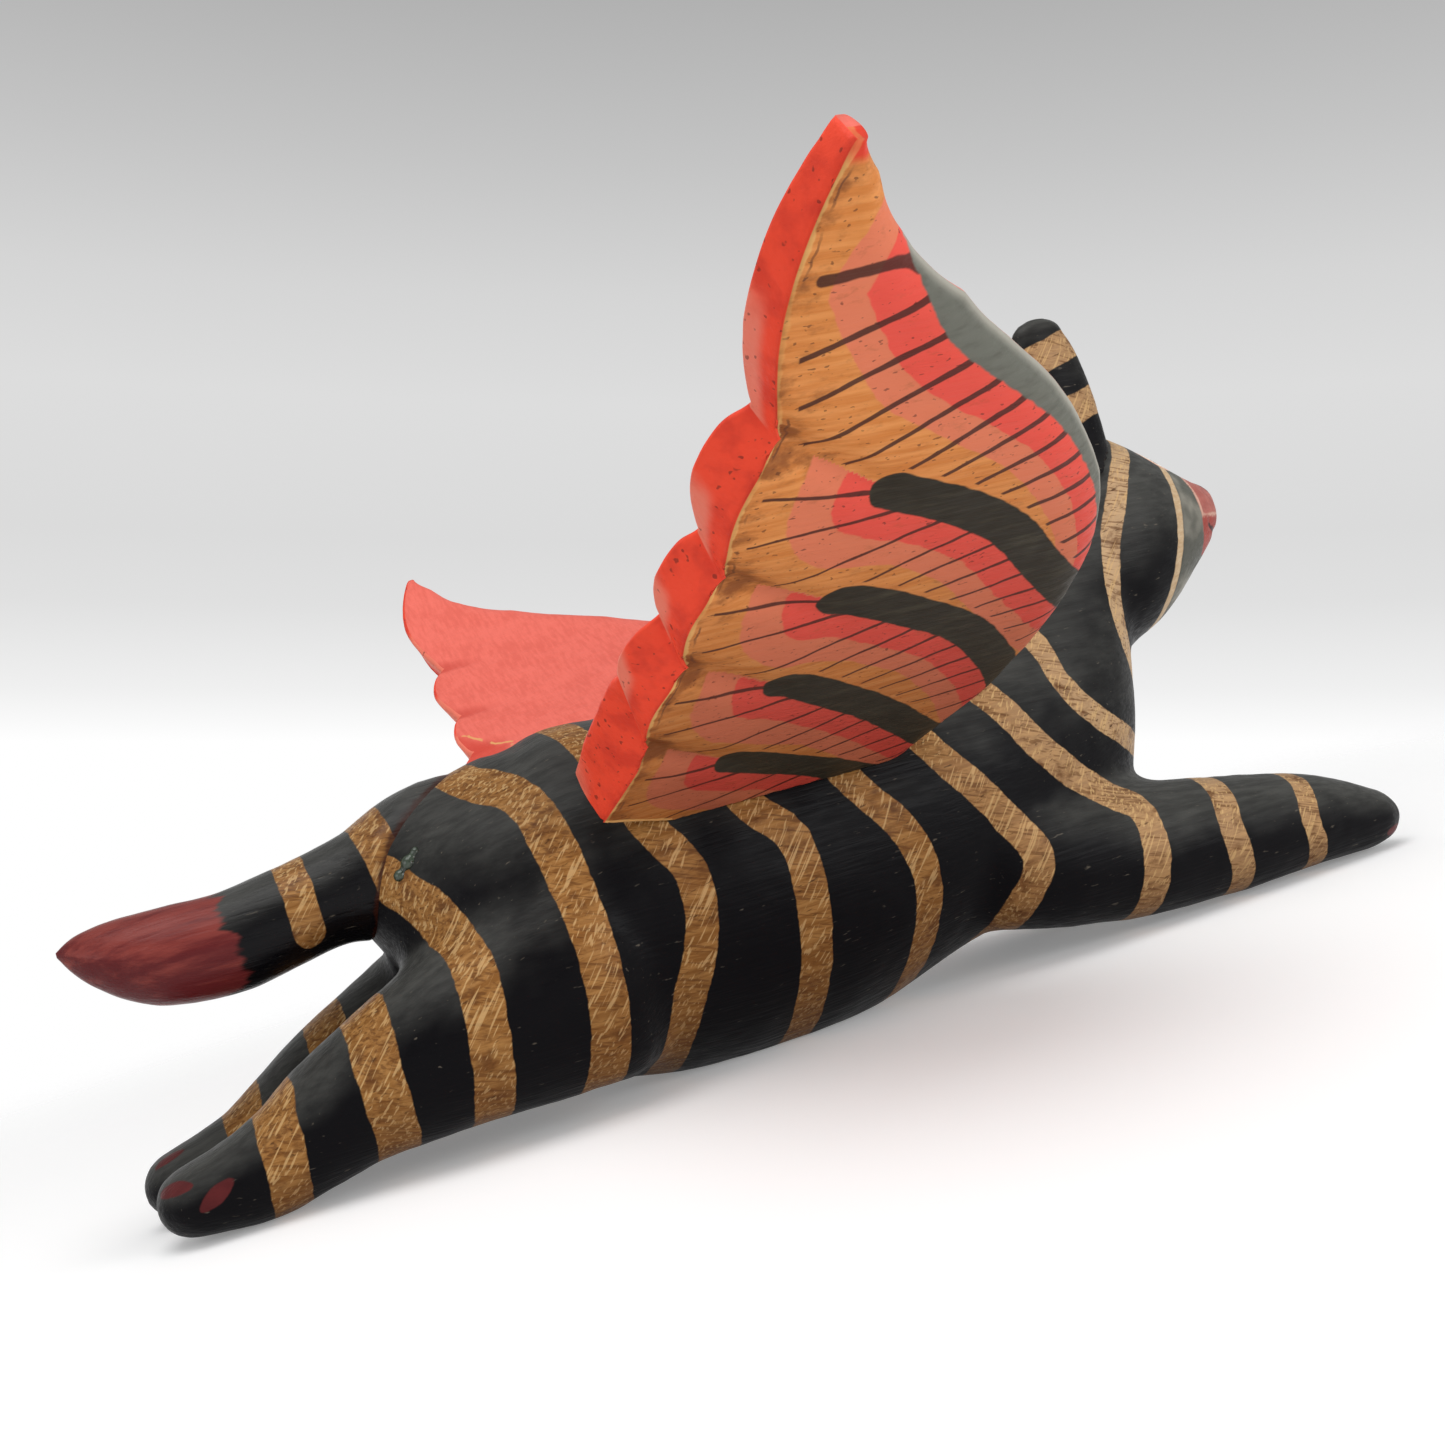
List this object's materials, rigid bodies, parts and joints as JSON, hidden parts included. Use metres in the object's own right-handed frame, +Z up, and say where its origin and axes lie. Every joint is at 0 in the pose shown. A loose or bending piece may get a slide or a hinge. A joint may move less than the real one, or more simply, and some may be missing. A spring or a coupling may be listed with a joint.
{
  "type": "carved flying animal figure",
  "caption": "Carved and painted wooden animal leaping flat with striped body, upright ears, raised tail and spread feathered wings that pull off on hidden pegs; rests on its belly and paws.",
  "frame": {"origin": "on the flat under the belly, midway between the two sides, below the wing roots", "axes": "+X towards the nose, +Y towards the animal's left, along the spread wings, +Z up"},
  "size_m": [0.248, 0.2791, 0.1168],
  "materials": {
    "black_painted_wood": "satin black paint with bare wood stripes",
    "maroon_painted_wood": "satin maroon and black paint",
    "coral_painted_wood": "matt coral, red and ochre paint",
    "bare_wood": "whittled, unpainted"
  },
  "bodies": {
    "body": {"body": "black_painted_wood", "tail": "maroon_painted_wood", "tail_dowel": "bare_wood", "right_ear": "black_painted_wood", "left_ear": "black_painted_wood", "right_ear_peg": "bare_wood", "left_ear_peg": "bare_wood"},
    "right_wing": {"right_wing": "coral_painted_wood", "right_wing_front_peg": "bare_wood", "right_wing_rear_peg": "bare_wood"},
    "left_wing": {"left_wing": "coral_painted_wood", "left_wing_front_peg": "bare_wood", "left_wing_rear_peg": "bare_wood"}
  },
  "joints": [
    {"name": "right_wing_slide", "type": "slide", "parent": "body", "child": "right_wing", "axis": [0, -0.9336, 0.3584], "range_m": [0, 0.014]},
    {"name": "left_wing_slide", "type": "slide", "parent": "body", "child": "left_wing", "axis": [0, 0.9781, 0.2079], "range_m": [0, 0.014]}
  ]
}
